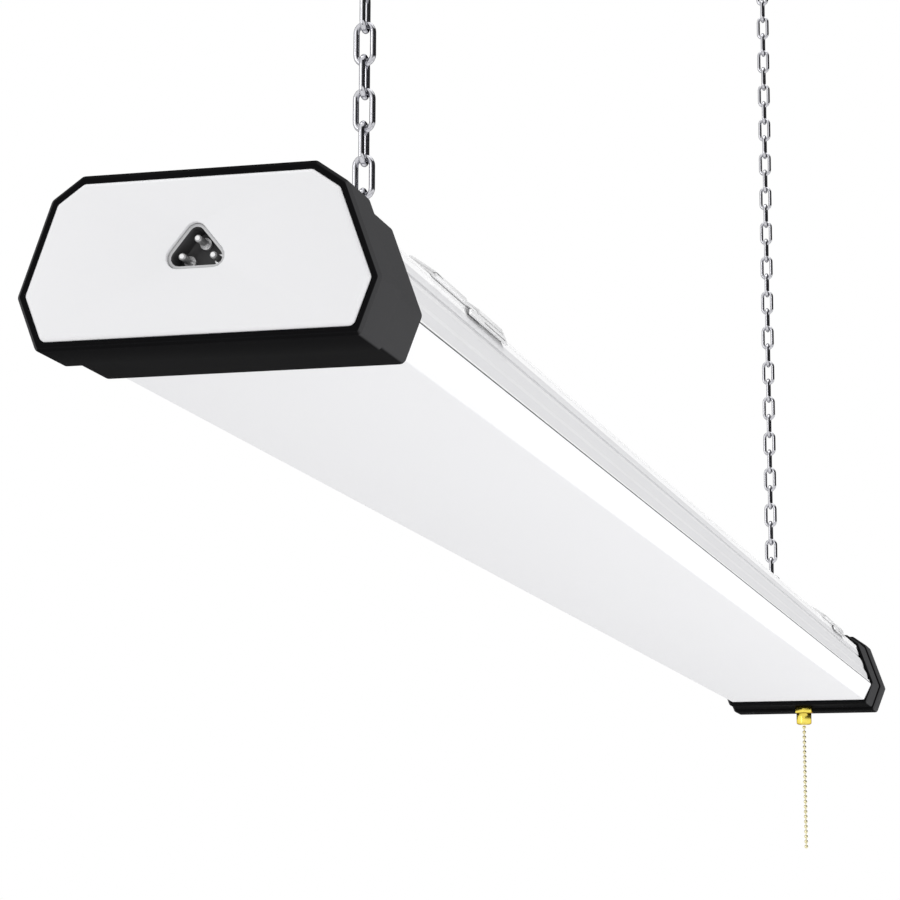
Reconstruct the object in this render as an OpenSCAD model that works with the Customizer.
// Hanging shop light: a linkable LED batten with a ribbed metal housing, a milky lens,
// moulded end caps, a pull-chain switch and two hanging chains.
// Millimetres. X runs along the light, Z is up, and the origin is on the ceiling,
// midway between the two screw hooks.

/* [Light] */
// Overall length over the two end caps
light_l = 1200; // [700:10:1800]
// Distance of each hanging chain from its end of the light
hang_inset = 156; // [120:1:220]

/* [End cap] */
// Widest width of the end cap
cap_w = 103; // [96:1:120]
// Height of the end cap
cap_h = 48.3; // [46:0.1:60]
// Width of the cap's flat top
cap_top_w = 66.4; // [55:0.2:74]
// Width across the cap's shoulders
cap_shoulder_w = 84.2; // [78:0.2:94]
// How far the shoulders lie below the cap's top
cap_shoulder_drop = 6.3; // [4:0.1:9]
// Width of the cap's flat bottom
cap_bottom_w = 91.4; // [84:0.2:98]
// Height of the cap's widest line
cap_waist_z = 15.4; // [12:0.1:20]
// Depth of the whole cap along the light
cap_depth = 49; // [46:0.5:70]
// Depth of the wider front section
cap_front_depth = 21; // [14:0.5:24]
// Step in from the front section to the rear section
cap_step = 1.9; // [1:0.1:2.4]
// Radius of the cap's lengthwise edges
cap_edge_r = 2; // [1:0.1:3]
// Bevel on the cap's end edges
cap_bevel = 0.9; // [0.3:0.1:1.2]
// Width of the rim round the end plate
cap_rim = 2.45; // [1.5:0.05:3.5]
// Wall of the front section behind the bulkhead
cap_wall = 2.9; // [2:0.1:3.5]
// Thickness of the bulkhead that carries the end plate
bulkhead_t = 2.5; // [1.5:0.1:4]
// How far the housing runs into the cap
housing_grip = 8; // [6.5:0.5:12]
// Clearance between the housing and the cap
cap_fit = 0.3; // [0.1:0.05:0.5]

/* [End plate] */
// Thickness of the end plate
plate_t = 4; // [2.5:0.1:5]
// How far the end plate stands out of the rim
plate_proud = 1.2; // [0.4:0.1:2]
// Bevel round the end plate's face
plate_bevel = 1; // [0.3:0.1:1.5]
// Clearance round and behind the end plate
plate_fit = 0.1; // [0.05:0.05:0.3]

/* [Link socket] */
// Height of the socket's middle above the cap's bottom
socket_z = 26; // [24:0.5:28]
// Distance between the two lower corner centres
socket_base = 10.2; // [9.6:0.1:11]
// Height from the lower corner centres to the upper one
socket_rise = 6.3; // [6:0.1:7.5]
// Corner radius of the socket's rounded triangle
socket_r = 3.1; // [2.9:0.1:3.6]
// Wall of the socket
socket_wall = 0.9; // [0.6:0.1:1.2]
// Depth of the socket below the plate's face
socket_depth = 9.4; // [7:0.1:12]
// Thickness of the socket's floor
socket_floor = 1.8; // [1:0.1:3]
// Contact pin diameter
pin_d = 2; // [1.6:0.1:2.4]
// Collar diameter round each pin
collar_d = 3.3; // [2.8:0.1:3.6]
// Sideways distance between the two lower pins
pin_base = 8.8; // [8:0.1:9.4]
// Height of the upper pin above the lower ones
pin_rise = 4.8; // [4.4:0.1:5.4]
// Height of the lower pins below the socket's middle
pin_drop = 1.8; // [1.6:0.1:2.1]
// Width of the key notch in the socket's wall
key_w = 1.4; // [1:0.1:1.6]
// Height of the key notch
key_h = 2.4; // [1.8:0.1:2.6]

/* [Housing and lens] */
// How far the housing's top and bottom lie inside the cap's front outline
body_inset = 4.4; // [4.2:0.1:4.8]
// Widest width of the housing and its lens
body_w = 94.7; // [92:0.1:95]
// Height of the widest line above the cap's bottom
body_waist_z = 13.9; // [12.6:0.1:15]
// Deepest wall of the housing, ribs and groove included
housing_wall = 2.4; // [2.1:0.1:2.8]
// Height of the joint line between the lens and the housing
joint_z = 15.6; // [15.2:0.1:18]
// Shadow gap at the joint line
joint_gap = 0.2; // [0.1:0.05:0.4]
// Thickness of the inner ledge that carries the tray
ledge_t = 1.2; // [1:0.1:2]
// Half width between the two ledges
ledge_half = 38; // [34:0.5:39.5]
// Height of the smooth band below the first rib
rib_start = 3.5; // [3.2:0.1:4]
// Spacing of the lengthwise ribs
rib_pitch = 7.6; // [7:0.1:7.8]
// Depth of the ribs
rib_deep = 0.7; // [0.3:0.05:1]
// Width of the groove above the ribs
groove_w = 2; // [1.4:0.1:2.4]
// Depth of the groove above the ribs
groove_deep = 1.5; // [0.8:0.1:1.6]
// Height of the lip along the shoulder
lip_h = 1; // [0.6:0.1:1.4]
// How far the lip stands out of the band below it
lip_proud = 0.4; // [0.2:0.1:0.6]
// Wall of the milky lens
lens_t = 1.5; // [1:0.1:2]
// Thickness of the lens's inner clip lip
lens_lip_t = 1; // [0.7:0.1:1.3]

/* [Lamp parts] */
// Thickness of the metal tray
tray_t = 1; // [0.8:0.1:1.5]
// Width of each circuit board strip
board_w = 20; // [14:1:24]
// Thickness of each circuit board strip
board_t = 1.6; // [1:0.1:2]
// Distance of each strip's middle from the centre line
board_y = 19; // [14:0.5:24]
// Number of light chips on each strip
chips = 36; // [12:1:48]
// Side of a light chip
chip_w = 3; // [2.4:0.1:4]
// Height of a light chip
chip_h = 0.7; // [0.5:0.1:1]
// Length of the driver's case
driver_l = 220; // [160:5:300]
// Width of the driver's case
driver_w = 44; // [40:1:56]
// Gap between the driver's case and the housing over it
driver_gap = 2.7; // [1.7:0.1:4.7]
// Wall of the driver's case
driver_wall = 0.8; // [0.6:0.1:1.2]
// Diameter of a wire
wire_d = 2.2; // [1.8:0.1:2.6]

/* [Pull switch] */
// Distance of the switch's bush from the far end
bush_inset = 35; // [34:0.5:36]
// Distance of the switch's bush to the side of the centre line
bush_side = 2; // [0:0.5:4]
// Diameter of the brass nozzle
nozzle_d = 9.6; // [8.4:0.1:10.4]
// How far the nozzle stands below the cap's bottom
nozzle_drop = 9.9; // [8:0.1:12]
// Diameter of the threaded shank
bush_d = 8; // [7:0.1:8.2]
// Diameter of the bore for the bead chain
bush_bore = 3.4; // [3:0.1:4]
// Diameter of the brass nut over its corners
nut_d = 11.9; // [11:0.1:13]
// Height of the brass nut
nut_h = 4.4; // [3.4:0.1:5]
// Height of the switch's case
switch_h = 15; // [14.5:0.1:15.4]
// Width of the switch's case
switch_w = 20; // [18:0.5:22]
// Wall of the switch's case
switch_wall = 1.2; // [1:0.1:1.5]
// Distance from the bead chain to the spool's axle
spool_r = 6; // [5.8:0.1:6.2]
// Bead diameter of the pull chain
bead_d = 2.4; // [2:0.1:2.6]
// Bead spacing of the pull chain
bead_pitch = 3.2; // [3:0.05:3.5]
// Number of beads that hang free
beads_free = 25; // [10:1:60]

/* [Chains and hooks] */
// Number of links in each hanging chain, an even number
links = 34; // [12:2:60]
// Wire diameter of a chain link
link_d = 2; // [1.6:0.1:2.2]
// Outer length of a chain link
link_l = 15.3; // [14:0.1:20]
// Outer width of a chain link
link_w = 7.6; // [7.4:0.1:9]
// Play left where two wires hang on each other
hang_gap = 0.1; // [0.05:0.05:0.2]
// Wire diameter of the S-hooks
s_hook_d = 2.4; // [2:0.1:2.6]
// Radius of each S-hook bowl, to the middle of its wire
s_hook_r = 4.5; // [4:0.1:6]
// Wire diameter of the ceiling hooks
ceiling_hook_d = 3; // [2.4:0.1:3.2]
// Radius of the ceiling hook's bowl, to the middle of its wire
ceiling_hook_r = 8; // [7:0.1:12]
// Length of the ceiling hook's straight neck
ceiling_neck = 6; // [4:0.5:20]
// Diameter of the ceiling hook's collar
collar_plate_d = 18; // [12:0.5:26]
// Thickness of the ceiling hook's collar
collar_plate_t = 1.6; // [1:0.1:3]
// Diameter of the screw shank
shank_d = 3.8; // [3:0.1:5]
// Length of the screw shank in the ceiling
shank_l = 22; // [15:1:40]

/* [Hanger clips] */
// Length of each hanger clip
hanger_l = 90; // [84:1:110]
// Sheet thickness of the hanger clip
hanger_t = 0.8; // [0.7:0.1:1.2]
// Play between the hanger clip and the housing
hanger_fit = 0.1; // [0.05:0.05:0.3]
// How far the ears reach down below the shoulder
ear_drop = 3.6; // [3:0.1:4]
// Height of the stiffening bosses pressed in the clip
boss_h = 0.9; // [0.7:0.1:1.4]
// Width of the notch in each ear
notch_w = 14; // [10:0.5:18]
// Distance from the clip's middle to the hanging eye
eye_offset = 14; // [8:0.5:18]
// Diameter of the hanging eye
eye_d = 6.8; // [6:0.1:8]
// Height of the eye's middle above the clip
eye_rise = 6.9; // [6:0.1:9]

/* [Hidden] */

// Facets of round features and of a wire's section
round_fn = 48;
wire_fn = 20;
// Points on each rounded corner of an outline
corner_steps = 5;
// Thin slice that a bevel starts from
slice = 0.01;

cap_outline = [
  [cap_bottom_w / 2, 0],
  [cap_w / 2, cap_waist_z],
  [cap_shoulder_w / 2, cap_h - cap_shoulder_drop],
  [cap_top_w / 2, cap_h],
  [-cap_top_w / 2, cap_h],
  [-cap_shoulder_w / 2, cap_h - cap_shoulder_drop],
  [-cap_w / 2, cap_waist_z],
  [-cap_bottom_w / 2, 0]
];

// Outline helpers, for a convex outline drawn counter-clockwise
function unit(v) = v / norm(v);
function normal_of(p, q) = let (d = unit(q - p)) [d.y, -d.x];
function wrapped(list, i) = list[(i + len(list)) % len(list)];
function inset_corner(a, b, c, d) =
  let (n1 = normal_of(a, b), n2 = normal_of(b, c))
  b - d * (n1 + n2) / (1 + n1 * n2);
function inset(points, d) = [
  for (i = [0 : len(points) - 1])
    inset_corner(wrapped(points, i - 1), points[i], wrapped(points, i + 1), d)
];
function turn(n1, n2) = atan2(n1.x * n2.y - n1.y * n2.x, n1 * n2);
function rounded(points, r) = [
  for (i = [0 : len(points) - 1])
    let (
      n1 = normal_of(wrapped(points, i - 1), points[i]),
      n2 = normal_of(points[i], wrapped(points, i + 1)),
      middle = inset(points, r)[i],
      start = atan2(n1.y, n1.x)
    )
    for (k = [0 : corner_steps])
      middle + r * [cos(start + turn(n1, n2) * k / corner_steps),
                    sin(start + turn(n1, n2) * k / corner_steps)]
];
function flip(p) = [-p.x, p.y];
function flipped(points) = [for (i = [len(points) - 1 : -1 : 0]) flip(points[i])];

// The housing's own outline and its two sides
inset_body = inset(cap_outline, body_inset);
body_outline = [
  for (i = [0 : len(inset_body) - 1])
    i == 1 || i == 6 ? [sign(inset_body[i].x) * body_w / 2, body_waist_z] : inset_body[i]
];
housing_inner = inset(body_outline, housing_wall);
waist = body_outline[1];
shoulder = body_outline[2];
side_up = unit(shoulder - waist);
side_out = normal_of(waist, shoulder);
side_len = norm(shoulder - waist);
body_top = cap_h - body_inset;
function on_side(along, deep) = waist + along * side_up - deep * side_out;
function at_height(p, q, z) = [p.x + (z - p.y) * (q.x - p.x) / (q.y - p.y), z];

// Where the pieces lie along the light
cap_x = light_l / 2;
hang_x = cap_x - hang_inset;
housing_start = cap_depth - housing_grip;
housing_l = light_l - 2 * housing_start;
bulkhead_x = plate_t - plate_proud + plate_fit;
chamber_x = bulkhead_x + bulkhead_t;
rear_top = cap_h - cap_step;
chamber_play = 0.6;
chamber_inset = body_inset + chamber_play;
chamber_floor = chamber_inset;
screw_x = cap_depth - housing_grip / 2;
screw_inset = 13;
screw_y = cap_top_w / 2 - screw_inset;
screw_r = 1.5;
screw_head_r = 3;
screw_head_h = 1.6;
thread_fit = 0.05;

// Tray, boards and driver
ledge_top = joint_z + ledge_t;
tray_half = at_height(housing_inner[1], housing_inner[2], ledge_top).x - 0.4;
tray_top = ledge_top + tray_t;
strip_margin = 10;
strip_l = housing_l - 2 * strip_margin;
rivet_r = 1.5;
rivet_head_h = 1;
driver_h = body_top - housing_wall - tray_top - driver_gap;
driver_board_inset = [6, 3, 0];

// Hanging stack, from the ceiling down
shank_point = 4;
eye_turn = 308;
hook_mid_z = -collar_plate_t - ceiling_neck - ceiling_hook_d / 2 - ceiling_hook_r;
hook_wire_z = hook_mid_z - ceiling_hook_r;
link_half = (link_l - link_d) / 2;
link_bend = (link_w - link_d) / 2;
link_pitch = link_l - 2 * link_d - hang_gap;
top_link_z = hook_wire_z + (ceiling_hook_d + link_d) / 2 + hang_gap - link_half;
last_link_z = top_link_z - (links - 1) * link_pitch;
s_top_z = last_link_z - link_half + (link_d + s_hook_d) / 2 + hang_gap;
s_mid_z = s_top_z - 2 * s_hook_r;
s_low_z = s_mid_z - 2 * s_hook_r;
eye_z = s_low_z + s_hook_d / 2 + hang_gap - eye_d / 2;
clip_top = body_top + hanger_fit + hanger_t;
light_z = eye_z - eye_rise - clip_top;

// Pull switch, measured from the far end inwards
spool_x = bush_inset - spool_r;
switch_ahead = 7;
switch_behind = 5;
switch_x0 = spool_x - switch_ahead;
switch_x1 = bush_inset + switch_behind;
spool_z = chamber_floor + switch_h / 2;
spool_rim = spool_r - bead_d / 2 - 0.3;
axle_r = 1.4;
mouth_bead_z = 1.3 - nozzle_drop;
beads_inside = floor((spool_z - mouth_bead_z) / bead_pitch) + 1;

// ---------- placing helpers ----------
module at_light() {
  translate([0, 0, light_z]) children();
}

// far = 0 is the near end, far = 1 is the far end; X then runs from the end inwards
module at_end(far) {
  at_light() translate([(2 * far - 1) * cap_x, 0, 0]) rotate([0, 0, 180 * far]) children();
}

// The pull switch, in the far end's frame and to the side of its centre line
module at_switch() {
  at_end(1) translate([0, bush_side, 0]) children();
}

module at_hang(far) {
  translate([(2 * far - 1) * hang_x, 0, 0]) children();
}

// Extrudes a Y-Z outline along X
module along_x(length) {
  rotate([90, 0, 90]) linear_extrude(length) children();
}

module slab(points, x0, x1) {
  translate([x0, 0, 0]) along_x(x1 - x0) polygon(points);
}

// A slab whose outline is drawn in by a bevel at either end
module bevelled_slab(points, x0, x1, bevel0, bevel1) {
  hull() {
    if (bevel0 > 0) slab(inset(points, bevel0), x0, x0 + slice);
    slab(points, x0 + bevel0, x1 - bevel1);
    if (bevel1 > 0) slab(inset(points, bevel1), x1 - slice, x1);
  }
}

// A straight wire from the origin up the Z axis
module rod(length, d) {
  cylinder(h = length, d = d, $fn = wire_fn);
}

// A bend from the origin, heading up and turning towards +X
module bend(r, angle, d) {
  translate([r, 0, 0]) rotate([90, 0, 0]) rotate([0, 0, 180 - angle])
    rotate_extrude(angle = angle, $fn = 2 * round_fn)
      translate([r, 0]) circle(d = d, $fn = wire_fn);
}

module pan_screw(r, length, head_r, head_h) {
  rotate_extrude($fn = round_fn)
    polygon([[0, -length], [r, -length], [r, 0], [head_r, 0], [head_r, head_h * 0.5],
             [head_r * 0.72, head_h], [0, head_h]]);
}

// ---------- chains and hooks ----------
// One link in the X-Z plane, its middle at the origin
module link() {
  straight = link_l - link_w;
  translate([-link_bend, 0, -straight / 2]) rod(straight, link_d);
  translate([link_bend, 0, -straight / 2]) rod(straight, link_d);
  translate([-link_bend, 0, straight / 2]) bend(link_bend, 180, link_d);
  translate([link_bend, 0, -straight / 2]) rotate([0, 180, 0]) bend(link_bend, 180, link_d);
}

module top_link(far) {
  color("silver") at_hang(far) translate([0, 0, top_link_z]) rotate([0, 0, 90]) link();
}

// The other links, each turned a quarter against the one above
module hanging_chain(far) {
  color("silver") at_hang(far)
    for (i = [1 : links - 1])
      translate([0, 0, top_link_z - i * link_pitch]) rotate([0, 0, 90 * ((i + 1) % 2)]) link();
}

// A stretch of a wire ring in the X-Z plane, from one angle on
module ring(r, start, angle, d) {
  rotate([90, 0, 0]) rotate([0, 0, start])
    rotate_extrude(angle = angle, $fn = 2 * round_fn)
      translate([r, 0]) circle(d = d, $fn = wire_fn);
}

// An S of two three-quarter rings, in the Y-Z plane
module s_hook(far) {
  color("gainsboro") at_hang(far) translate([0, 0, s_mid_z]) rotate([0, 0, 90]) {
    translate([0, 0, s_hook_r]) ring(s_hook_r, 0, 270, s_hook_d);
    translate([0, 0, -s_hook_r]) ring(s_hook_r, 180, 270, s_hook_d);
  }
}

// Screw shank, collar, neck and an open eye under it
module ceiling_hook(far) {
  color("gainsboro") at_hang(far) {
    translate([0, 0, -collar_plate_t])
      cylinder(h = collar_plate_t, d = collar_plate_d, $fn = round_fn);
    translate([0, 0, -collar_plate_t / 2])
      cylinder(h = shank_l - shank_point + collar_plate_t / 2, d = shank_d, $fn = round_fn);
    translate([0, 0, shank_l - shank_point])
      cylinder(h = shank_point, d1 = shank_d, d2 = 0.8, $fn = round_fn);
    translate([0, 0, hook_mid_z + ceiling_hook_r - ceiling_hook_d / 2])
      rod(ceiling_neck + ceiling_hook_d, ceiling_hook_d);
    translate([0, 0, hook_mid_z]) ring(ceiling_hook_r, 90, eye_turn, ceiling_hook_d);
  }
}

// ---------- hanger clip ----------
// The band of sheet between two offsets of the housing's outline, over its top and shoulders
module clip_band(x0, x1, low, gap, thick) {
  intersection() {
    difference() {
      slab(inset(body_outline, -gap - thick), x0, x1);
      slab(inset(body_outline, -gap), x0 - 1, x1 + 1);
    }
    translate([x0 - 1, -cap_w, low]) cube([x1 - x0 + 2, 2 * cap_w, cap_h]);
  }
}

// Ears, notches and bosses along the clip, from its middle
clip_end = hanger_l / 2;
foot_x = -6;
notch_x = foot_x + notch_w;
ear_end = clip_end - 3;
ear_low = shoulder.y - ear_drop;
ear_gap = 0.6;
bosses = [[1 - clip_end, foot_x - 2], [notch_x, ear_end - 3]];
slot_h = 0.7;
slit_y = body_outline[3].x - 2;
window_d = 13;

module hanger(far) {
  top_low = shoulder.y - 0.4;
  hollow_low = shoulder.y + 0.6;
  tongue_w = 2 * eye_d + 2.6;
  color("whitesmoke") at_hang(far) translate([-eye_offset, 0, light_z]) {
    difference() {
      union() {
        clip_band(-clip_end, clip_end, top_low, hanger_fit, hanger_t);
        for (b = bosses) clip_band(b[0], b[1], top_low, hanger_fit, hanger_t + boss_h);
        ears();
      }
      // The bosses are pressed up from below, and the second is slit open over each shoulder
      for (b = bosses)
        clip_band(b[0] + hanger_t, b[1] - hanger_t, hollow_low, 0, hanger_fit + boss_h);
      difference() {
        clip_band(notch_x - 1, notch_x + 2 * hanger_t, hollow_low, 0, hanger_fit + boss_h);
        translate([0, -slit_y, 0]) cube([cap_w, 2 * slit_y, cap_h]);
      }
      // Curled mouth at the first boss's near end
      through_side() polygon([[0.4 - clip_end, 0.75], [3 - clip_end, 1], [6 - clip_end, 0.9],
                               [9 - clip_end, 0.2], [5 - clip_end, 0.35], [2 - clip_end, 0.3]]);
      // Window that the tongue is folded up from
      translate([eye_offset - tongue_w / 2, hanger_t / 2, body_top - 1])
        cube([tongue_w, window_d, cap_h - body_top + 1]);
    }
    // Folded tongue with the hanging eye
    translate([eye_offset, 0, clip_top]) tongue(tongue_w);
  }
}

// Extrudes an outline of distances along the clip and above the shoulder across the light
module through_side() {
  translate([0, 0, shoulder.y]) rotate([90, 0, 0])
    linear_extrude(height = 2 * cap_w, center = true) children();
}

// Skirts that stand off the housing's sides, each with a pointed foot and a slot
module ears() {
  difference() {
    intersection() {
      clip_band(foot_x, ear_end, ear_low, ear_gap, hanger_t);
      through_side() polygon([[foot_x, -ear_drop], [ear_end, -ear_drop], [ear_end, 0.3], [notch_x, 0.3],
                               [notch_x - 0.5, -1], [foot_x + 3, -1.3]]);
    }
    translate([notch_x + 4, -cap_w, ear_low + 0.8])
      cube([ear_end - notch_x - 6, 2 * cap_w, slot_h]);
  }
}

module tongue(width) {
  rotate([90, 0, 0]) linear_extrude(height = hanger_t, center = true) difference() {
    union() {
      translate([0, eye_rise]) circle(d = 2 * eye_d - 0.2, $fn = round_fn);
      polygon([[-width / 2, -hanger_t], [width / 2, -hanger_t], [eye_d - 0.4, eye_rise],
               [0.4 - eye_d, eye_rise]]);
    }
    translate([0, eye_rise]) circle(d = eye_d, $fn = round_fn);
  }
}

// ---------- housing, lens and tray ----------
// Right-hand outer side from the joint line to the shoulder
function housing_side() = let (
  valley = rib_start,
  groove0 = rib_start + 2 * rib_pitch - 0.2,
  groove1 = groove0 + groove_w,
  lip0 = side_len - lip_h
) [
  at_height(waist, shoulder, joint_z),
  on_side(rib_start - 0.3, 0),
  for (i = [0, 1]) each [
    on_side(valley + i * rib_pitch, rib_deep),
    on_side(valley + (i + 0.45) * rib_pitch, 0.1),
    on_side(valley + (i + 0.6) * rib_pitch, 0.1)
  ],
  on_side(groove0, rib_deep * 0.8),
  on_side(groove0, groove_deep),
  on_side(groove1, groove_deep),
  on_side(groove1, lip_proud + 0.3),
  on_side(groove1 + 2, lip_proud),
  on_side(lip0, lip_proud),
  on_side(lip0, 0),
  shoulder,
  body_outline[3]
];

module housing() {
  inner_right = [
    [ledge_half, ledge_top],
    at_height(housing_inner[1], housing_inner[2], ledge_top),
    housing_inner[2],
    housing_inner[3]
  ];
  color("whitesmoke") at_light() difference() {
    slab(concat([[ledge_half, joint_z]], housing_side(), flipped(housing_side()), [[-ledge_half, joint_z]],
                [for (p = inner_right) flip(p)], flipped([for (p = inner_right) flip(p)])),
         -housing_l / 2, housing_l / 2);
    for (end = [-1, 1], side = [-1, 1])
      translate([end * (cap_x - screw_x), side * screw_y, body_top - housing_wall - 1])
        cylinder(h = housing_wall + 2, r = screw_r + thread_fit, $fn = round_fn);
    for (x = tray_screw_x(), side = [-1, 1])
      translate([x, side * tray_screw_y(), joint_z - 1])
        cylinder(h = ledge_t + 2, r = rivet_r + thread_fit, $fn = round_fn);
  }
}

module lens() {
  lip_z = joint_z - joint_gap;
  lens_inner = inset(body_outline, lens_t);
  half = [
    body_outline[0],
    waist,
    at_height(waist, shoulder, lip_z),
    [ledge_half, lip_z],
    [ledge_half, lip_z - lens_lip_t],
    at_height(lens_inner[0], lens_inner[1], lip_z - lens_lip_t),
    lens_inner[0]
  ];
  color("white") at_light()
    slab(concat(half, flipped(half)), -housing_l / 2, housing_l / 2);
}

function tray_screw_x() = [for (i = [-2 : 2]) i * (housing_l / 2 - 25) / 2];
function tray_screw_y() = (ledge_half + tray_half) / 2;
function board_screw_x() = [for (i = [-2 : 2]) i * (strip_l / 2 - 8) / 2 + 6];

module gear_tray() {
  color("white") at_light() difference() {
    translate([-housing_l / 2, -tray_half, ledge_top]) cube([housing_l, 2 * tray_half, tray_t]);
    for (x = tray_screw_x(), side = [-1, 1])
      translate([x, side * tray_screw_y(), ledge_top - 1])
        cylinder(h = tray_t + 2, r = rivet_r + 2 * thread_fit, $fn = round_fn);
    for (x = board_screw_x(), side = [-1, 1])
      translate([x, side * board_y, ledge_top - 1])
        cylinder(h = tray_t + 2, r = rivet_r + thread_fit, $fn = round_fn);
  }
}

module led_board(side) {
  color("white") at_light() difference() {
    translate([-strip_l / 2, side * board_y - board_w / 2, ledge_top - board_t])
      cube([strip_l, board_w, board_t]);
    for (x = board_screw_x())
      translate([x, side * board_y, ledge_top - board_t - 1])
        cylinder(h = board_t + 2, r = rivet_r + 2 * thread_fit, $fn = round_fn);
  }
}

module led_chips(side) {
  step = strip_l / chips;
  color("khaki") at_light()
    for (i = [0 : chips - 1])
      translate([(i + 0.5) * step - strip_l / 2 - chip_w / 2, side * (board_y + 5) - chip_w / 2,
                 ledge_top - board_t - chip_h])
        cube([chip_w, chip_w, chip_h]);
}

module board_screws() {
  color("silver") at_light()
    for (x = board_screw_x(), side = [-1, 1])
      translate([x, side * board_y, ledge_top - board_t]) rotate([180, 0, 0])
        pan_screw(rivet_r, board_t + tray_t, 2 * rivet_r, rivet_head_h);
}

module tray_screws() {
  color("silver") at_light()
    for (x = tray_screw_x(), side = [-1, 1])
      translate([x, side * tray_screw_y(), tray_top])
        pan_screw(rivet_r, tray_t + ledge_t, 1.5 * rivet_r, rivet_head_h);
}

// ---------- driver ----------
module driver_case() {
  color("silver") at_light() difference() {
    translate([-driver_l / 2, -driver_w / 2, tray_top]) cube([driver_l, driver_w, driver_h]);
    translate([-driver_l / 2 + driver_wall, -driver_w / 2 + driver_wall, tray_top - 1])
      cube([driver_l - 2 * driver_wall, driver_w - 2 * driver_wall, driver_h + 1 - driver_wall]);
  }
}

module driver_board() {
  color("green") at_light()
    translate([-driver_l / 2, -driver_w / 2, tray_top] + driver_board_inset)
      cube([driver_l, driver_w, board_t] - 2 * driver_board_inset);
}

// Parts on the driver's board, and the place of each from the board's middle
part_headroom = 3.6;
tall_part = driver_h - driver_wall - board_t - part_headroom;
transformer = [28, 24, tall_part - 1];
film_capacitor = [18, 8, tall_part - 3];
film_capacitor_at = [-48, 6, 0];
heat_sink = [3, 26, tall_part - 2];
heat_sink_at = [80, -14, 0];
output_can = [13, tall_part];
output_can_at = [45, 6, 0];
output_can_pitch = [18, 0, 0];
input_can = [9, tall_part - 4];
input_can_at = [-70, -7, 0];
input_can_pitch = [16, 0, 0];

module driver_parts() {
  color("goldenrod") at_light() translate([0, 0, tray_top + board_t]) {
    translate([-transformer.x / 2, -transformer.y / 2, 0]) cube(transformer);
    for (i = [0 : 1]) translate(output_can_at + i * output_can_pitch)
      cylinder(h = output_can.y, d = output_can.x, $fn = round_fn);
    for (i = [0 : 2]) translate(input_can_at + i * input_can_pitch)
      cylinder(h = input_can.y, d = input_can.x, $fn = round_fn);
    translate(film_capacitor_at) cube(film_capacitor);
    translate(heat_sink_at) cube(heat_sink);
  }
}

// ---------- wiring ----------
pin_low_z = socket_z - pin_drop;
pin_places = [[0, pin_low_z + pin_rise], [pin_base / 2, pin_low_z], [-pin_base / 2, pin_low_z]];
socket_deck = socket_depth - plate_proud;
socket_back = socket_deck + socket_floor;
pin_tail = socket_back + 3;

// Straight insulated leads from the link socket's pins to the driver
module link_wires(far) {
  color("dimgray") at_end(far)
    for (p = pin_places)
      translate([pin_tail, p.x, p.y]) rotate([0, 90, 0])
        cylinder(h = cap_x - driver_l / 2 - pin_tail, d = wire_d, $fn = wire_fn);
}

terminal_x = switch_x0 + 6;
terminal_y = switch_w / 2 - 2.2;
terminal = [3.2, 2.4, 3];

module switch_wires() {
  start_x = terminal_x + terminal.x / 2;
  color("black") at_switch()
    for (side = [-1, 1])
      translate([start_x, side * terminal_y, chamber_floor + switch_h + terminal.z / 2]) rotate([0, 90, 0])
        cylinder(h = cap_x - driver_l / 2 - start_x, d = wire_d, $fn = wire_fn);
}

// ---------- end caps and plates ----------
module end_cap(far) {
  color([0.1, 0.1, 0.1]) at_end(far) difference() {
    union() {
      bevelled_slab(rounded(cap_outline, cap_edge_r), 0, cap_front_depth, cap_bevel, cap_bevel);
      bevelled_slab(rounded(inset(cap_outline, cap_step), cap_edge_r), cap_front_depth - cap_bevel - 1,
                    cap_depth, 0, cap_bevel);
    }
    // Recess for the end plate
    slab(rounded(inset(cap_outline, cap_rim), cap_edge_r), -1, bulkhead_x);
    // Chamber behind the bulkhead, then the pocket for the housing
    slab(inset(cap_outline, cap_wall), chamber_x, cap_front_depth - 2);
    slab(inset(cap_outline, chamber_inset), cap_front_depth - 2 - slice, housing_start + slice);
    slab(inset(body_outline, -cap_fit), housing_start, cap_depth + 1);
    // Opening for the link socket
    slab(socket_outline(plate_fit), bulkhead_x - 1, chamber_x + 1);
    for (side = [-1, 1])
      translate([screw_x, side * screw_y, body_top])
        cylinder(h = body_inset + 1, r = screw_r + 4 * thread_fit, $fn = round_fn);
    if (far == 1)
      translate([bush_inset, bush_side, 0])
        cylinder(h = chamber_floor + 1, d = bush_d + 4 * thread_fit, $fn = round_fn);
  }
}

module end_plate(far) {
  color([0.92, 0.92, 0.93]) at_end(far) difference() {
    bevelled_slab(rounded(inset(cap_outline, cap_rim + plate_fit), cap_edge_r), -plate_proud,
                  plate_t - plate_proud, plate_bevel, 0);
    slab(socket_outline(plate_fit), -plate_proud - 1, plate_t);
  }
}

module cap_screws(far) {
  color("silver") at_end(far)
    for (side = [-1, 1])
      translate([screw_x, side * screw_y, rear_top])
        pan_screw(screw_r, rear_top - body_top + housing_wall, screw_head_r, screw_head_h);
}

// ---------- link socket ----------
// Rounded triangle, apex up, grown by a margin
socket_lift = 0.7;
function socket_outline(grow) =
  let (r = socket_r, low = socket_z - socket_rise / 2 + socket_lift)
  rounded(inset([[socket_base / 2, low], [0, low + socket_rise], [-socket_base / 2, low]], -r - grow),
          r + grow);

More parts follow.
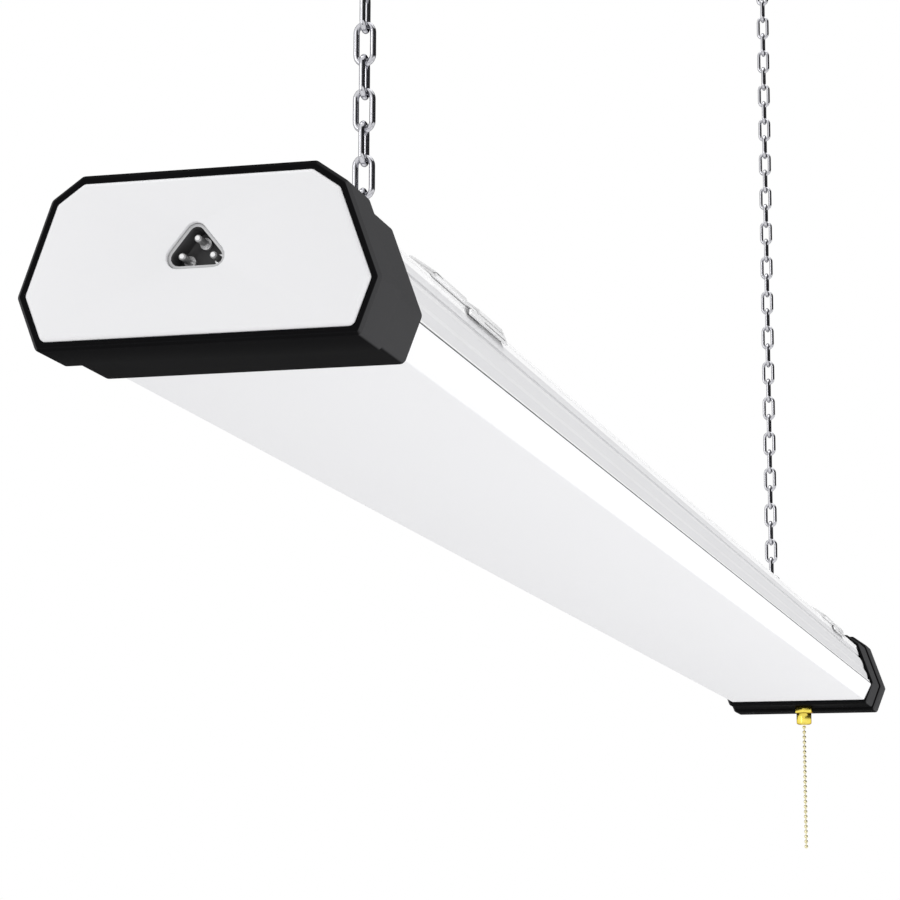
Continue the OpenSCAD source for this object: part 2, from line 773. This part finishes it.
module link_socket(far) {
  key_start = 1.4;
  color([0.22, 0.22, 0.23]) at_end(far) difference() {
    union() {
      slab(socket_outline(0), 0.2, socket_back);
      slab(socket_outline(2), chamber_x, chamber_x + 1.5);
    }
    slab(socket_outline(-socket_wall), -1, socket_deck);
    // Key notch beside the lower right pin
    translate([key_start, -socket_base / 2 - socket_r + 0.6, pin_low_z - key_h + 0.1])
      cube([socket_deck - key_start, key_w, key_h]);
    for (p = pin_places)
      translate([0, p.x, p.y]) rotate([0, 90, 0])
        cylinder(h = socket_back + 1, d = pin_d + 2 * thread_fit, $fn = round_fn);
  }
}

module link_pins(far) {
  tip = 0.6;
  collar_h = 0.9;
  color("gainsboro") at_end(far)
    for (p = pin_places)
      translate([0, p.x, p.y]) rotate([0, 90, 0]) rotate_extrude($fn = round_fn)
        polygon([[0, tip], [pin_d / 2 - 0.35, tip], [pin_d / 2, tip + 0.5],
                 [pin_d / 2, socket_deck - collar_h], [collar_d / 2, socket_deck - collar_h],
                 [collar_d / 2, socket_deck], [pin_d / 2, socket_deck],
                 [pin_d / 2, pin_tail], [0, pin_tail]]);
}

// ---------- pull switch ----------
module switch_case() {
  color([0.16, 0.16, 0.17]) at_switch() difference() {
    translate([switch_x0, -switch_w / 2, chamber_floor])
      cube([switch_x1 - switch_x0, switch_w - switch_wall, switch_h]);
    translate([switch_x0 + switch_wall, -switch_w / 2 + switch_wall, chamber_floor + switch_wall])
      cube([switch_x1 - switch_x0 - 2 * switch_wall, switch_w, switch_h - 2 * switch_wall]);
    translate([bush_inset, 0, chamber_floor - 1])
      cylinder(h = switch_wall + 2, d = bush_bore, $fn = round_fn);
    translate([spool_x, 0, spool_z]) rotate([90, 0, 0])
      cylinder(h = switch_w, r = axle_r + thread_fit, $fn = round_fn);
  }
}

module switch_cover() {
  color([0.16, 0.16, 0.17]) at_switch() difference() {
    translate([switch_x0, switch_w / 2 - switch_wall, chamber_floor])
      cube([switch_x1 - switch_x0, switch_wall, switch_h]);
    translate([spool_x, switch_w, spool_z]) rotate([90, 0, 0])
      cylinder(h = switch_w, r = axle_r + thread_fit, $fn = round_fn);
  }
}

module switch_axle() {
  color("silver") at_switch() translate([spool_x, switch_w / 2, spool_z]) rotate([90, 0, 0])
    cylinder(h = switch_w, r = axle_r, $fn = round_fn);
}

// Drum that the bead chain turns, with a ratchet ring on one side
module switch_spool() {
  drum_w = 7;
  teeth = 8;
  color("ivory") at_switch() translate([spool_x, 0, spool_z]) rotate([90, 0, 0]) difference() {
    union() {
      translate([0, 0, -drum_w / 2]) cylinder(h = drum_w, r = spool_rim, $fn = round_fn);
      translate([0, 0, drum_w / 2 - slice]) linear_extrude(2)
        polygon([for (i = [0 : teeth - 1]) each [
          spool_rim * 0.9 * [cos(i * 360 / teeth), sin(i * 360 / teeth)],
          spool_rim * 0.65 * [cos((i + 0.15) * 360 / teeth), sin((i + 0.15) * 360 / teeth)]
        ]]);
    }
    translate([0, 0, -drum_w]) cylinder(h = 2 * drum_w, r = axle_r + thread_fit, $fn = round_fn);
  }
}

module switch_terminals() {
  color("goldenrod") at_switch()
    for (side = [-1, 1])
      translate([terminal_x - terminal.x / 2, side * terminal_y - terminal.y / 2, chamber_floor + switch_h])
        cube(terminal);
}

// Threaded shank through the cap, with the nozzle that the chain leaves by
module switch_bush() {
  color("gold") at_switch() translate([bush_inset, 0, 0]) rotate_extrude($fn = round_fn)
    polygon([
      [bush_bore / 2, chamber_floor],
      [bush_d / 2, chamber_floor],
      [bush_d / 2, cap_step - nut_h],
      [nozzle_d / 2 - 0.3, cap_step - nut_h],
      [nozzle_d / 2, cap_step - nut_h - 0.3],
      [nozzle_d / 2, 0.8 - nozzle_drop],
      [nozzle_d / 2 - 0.8, -nozzle_drop],
      [bush_bore / 2 + 1, -nozzle_drop],
      [bush_bore / 2, 1.2 - nozzle_drop]
    ]);
}

module switch_nut() {
  color("gold") at_switch() translate([bush_inset, 0, cap_step - nut_h]) difference() {
    cylinder(h = nut_h, d = nut_d, $fn = 6);
    translate([0, 0, -1]) cylinder(h = nut_h + 2, d = bush_d + 4 * thread_fit, $fn = round_fn);
  }
}

// A run of beads joined by short pins, hanging down from the first bead's middle
module beads(count) {
  for (i = [0 : count - 1]) translate([0, 0, -i * bead_pitch]) sphere(d = bead_d, $fn = 24);
  translate([0, 0, -(count - 1) * bead_pitch]) cylinder(h = (count - 1) * bead_pitch, d = 0.8, $fn = 16);
}

module pull_lead() {
  color("gold") at_switch()
    translate([bush_inset, 0, mouth_bead_z + (beads_inside - 1) * bead_pitch]) beads(beads_inside);
}

module pull_chain() {
  neck = bead_d / 2 + hang_gap;
  color("gold") at_switch() {
    translate([bush_inset, 0, mouth_bead_z - bead_pitch]) beads(beads_free);
    translate([bush_inset, 0, mouth_bead_z - bead_pitch])
      cylinder(h = bead_pitch - neck, d = 0.8, $fn = 16);
  }
}

ceiling_hook(0);  // near_ceiling_hook
ceiling_hook(1);  // far_ceiling_hook
top_link(0);  // near_top_link
top_link(1);  // far_top_link
hanging_chain(0);  // near_chain
hanging_chain(1);  // far_chain
s_hook(0);  // near_s_hook
s_hook(1);  // far_s_hook
hanger(0);  // near_hanger
hanger(1);  // far_hanger
housing();
lens();
gear_tray();
led_board(1);  // led_board_left
led_board(-1);  // led_board_right
led_chips(1);  // led_chips_left
led_chips(-1);  // led_chips_right
board_screws();
tray_screws();
driver_case();
driver_board();
driver_parts();
link_wires(0);  // near_wires
link_wires(1);  // far_wires
switch_wires();
end_cap(0);  // near_end_cap
end_cap(1);  // far_end_cap
end_plate(0);  // near_end_plate
end_plate(1);  // far_end_plate
cap_screws(0);  // near_cap_screws
cap_screws(1);  // far_cap_screws
link_socket(0);  // near_link_socket
link_socket(1);  // far_link_socket
link_pins(0);  // near_link_pins
link_pins(1);  // far_link_pins
switch_case();
switch_cover();
switch_bush();
switch_nut();
switch_axle();
switch_spool();
switch_terminals();
pull_lead();
pull_chain();
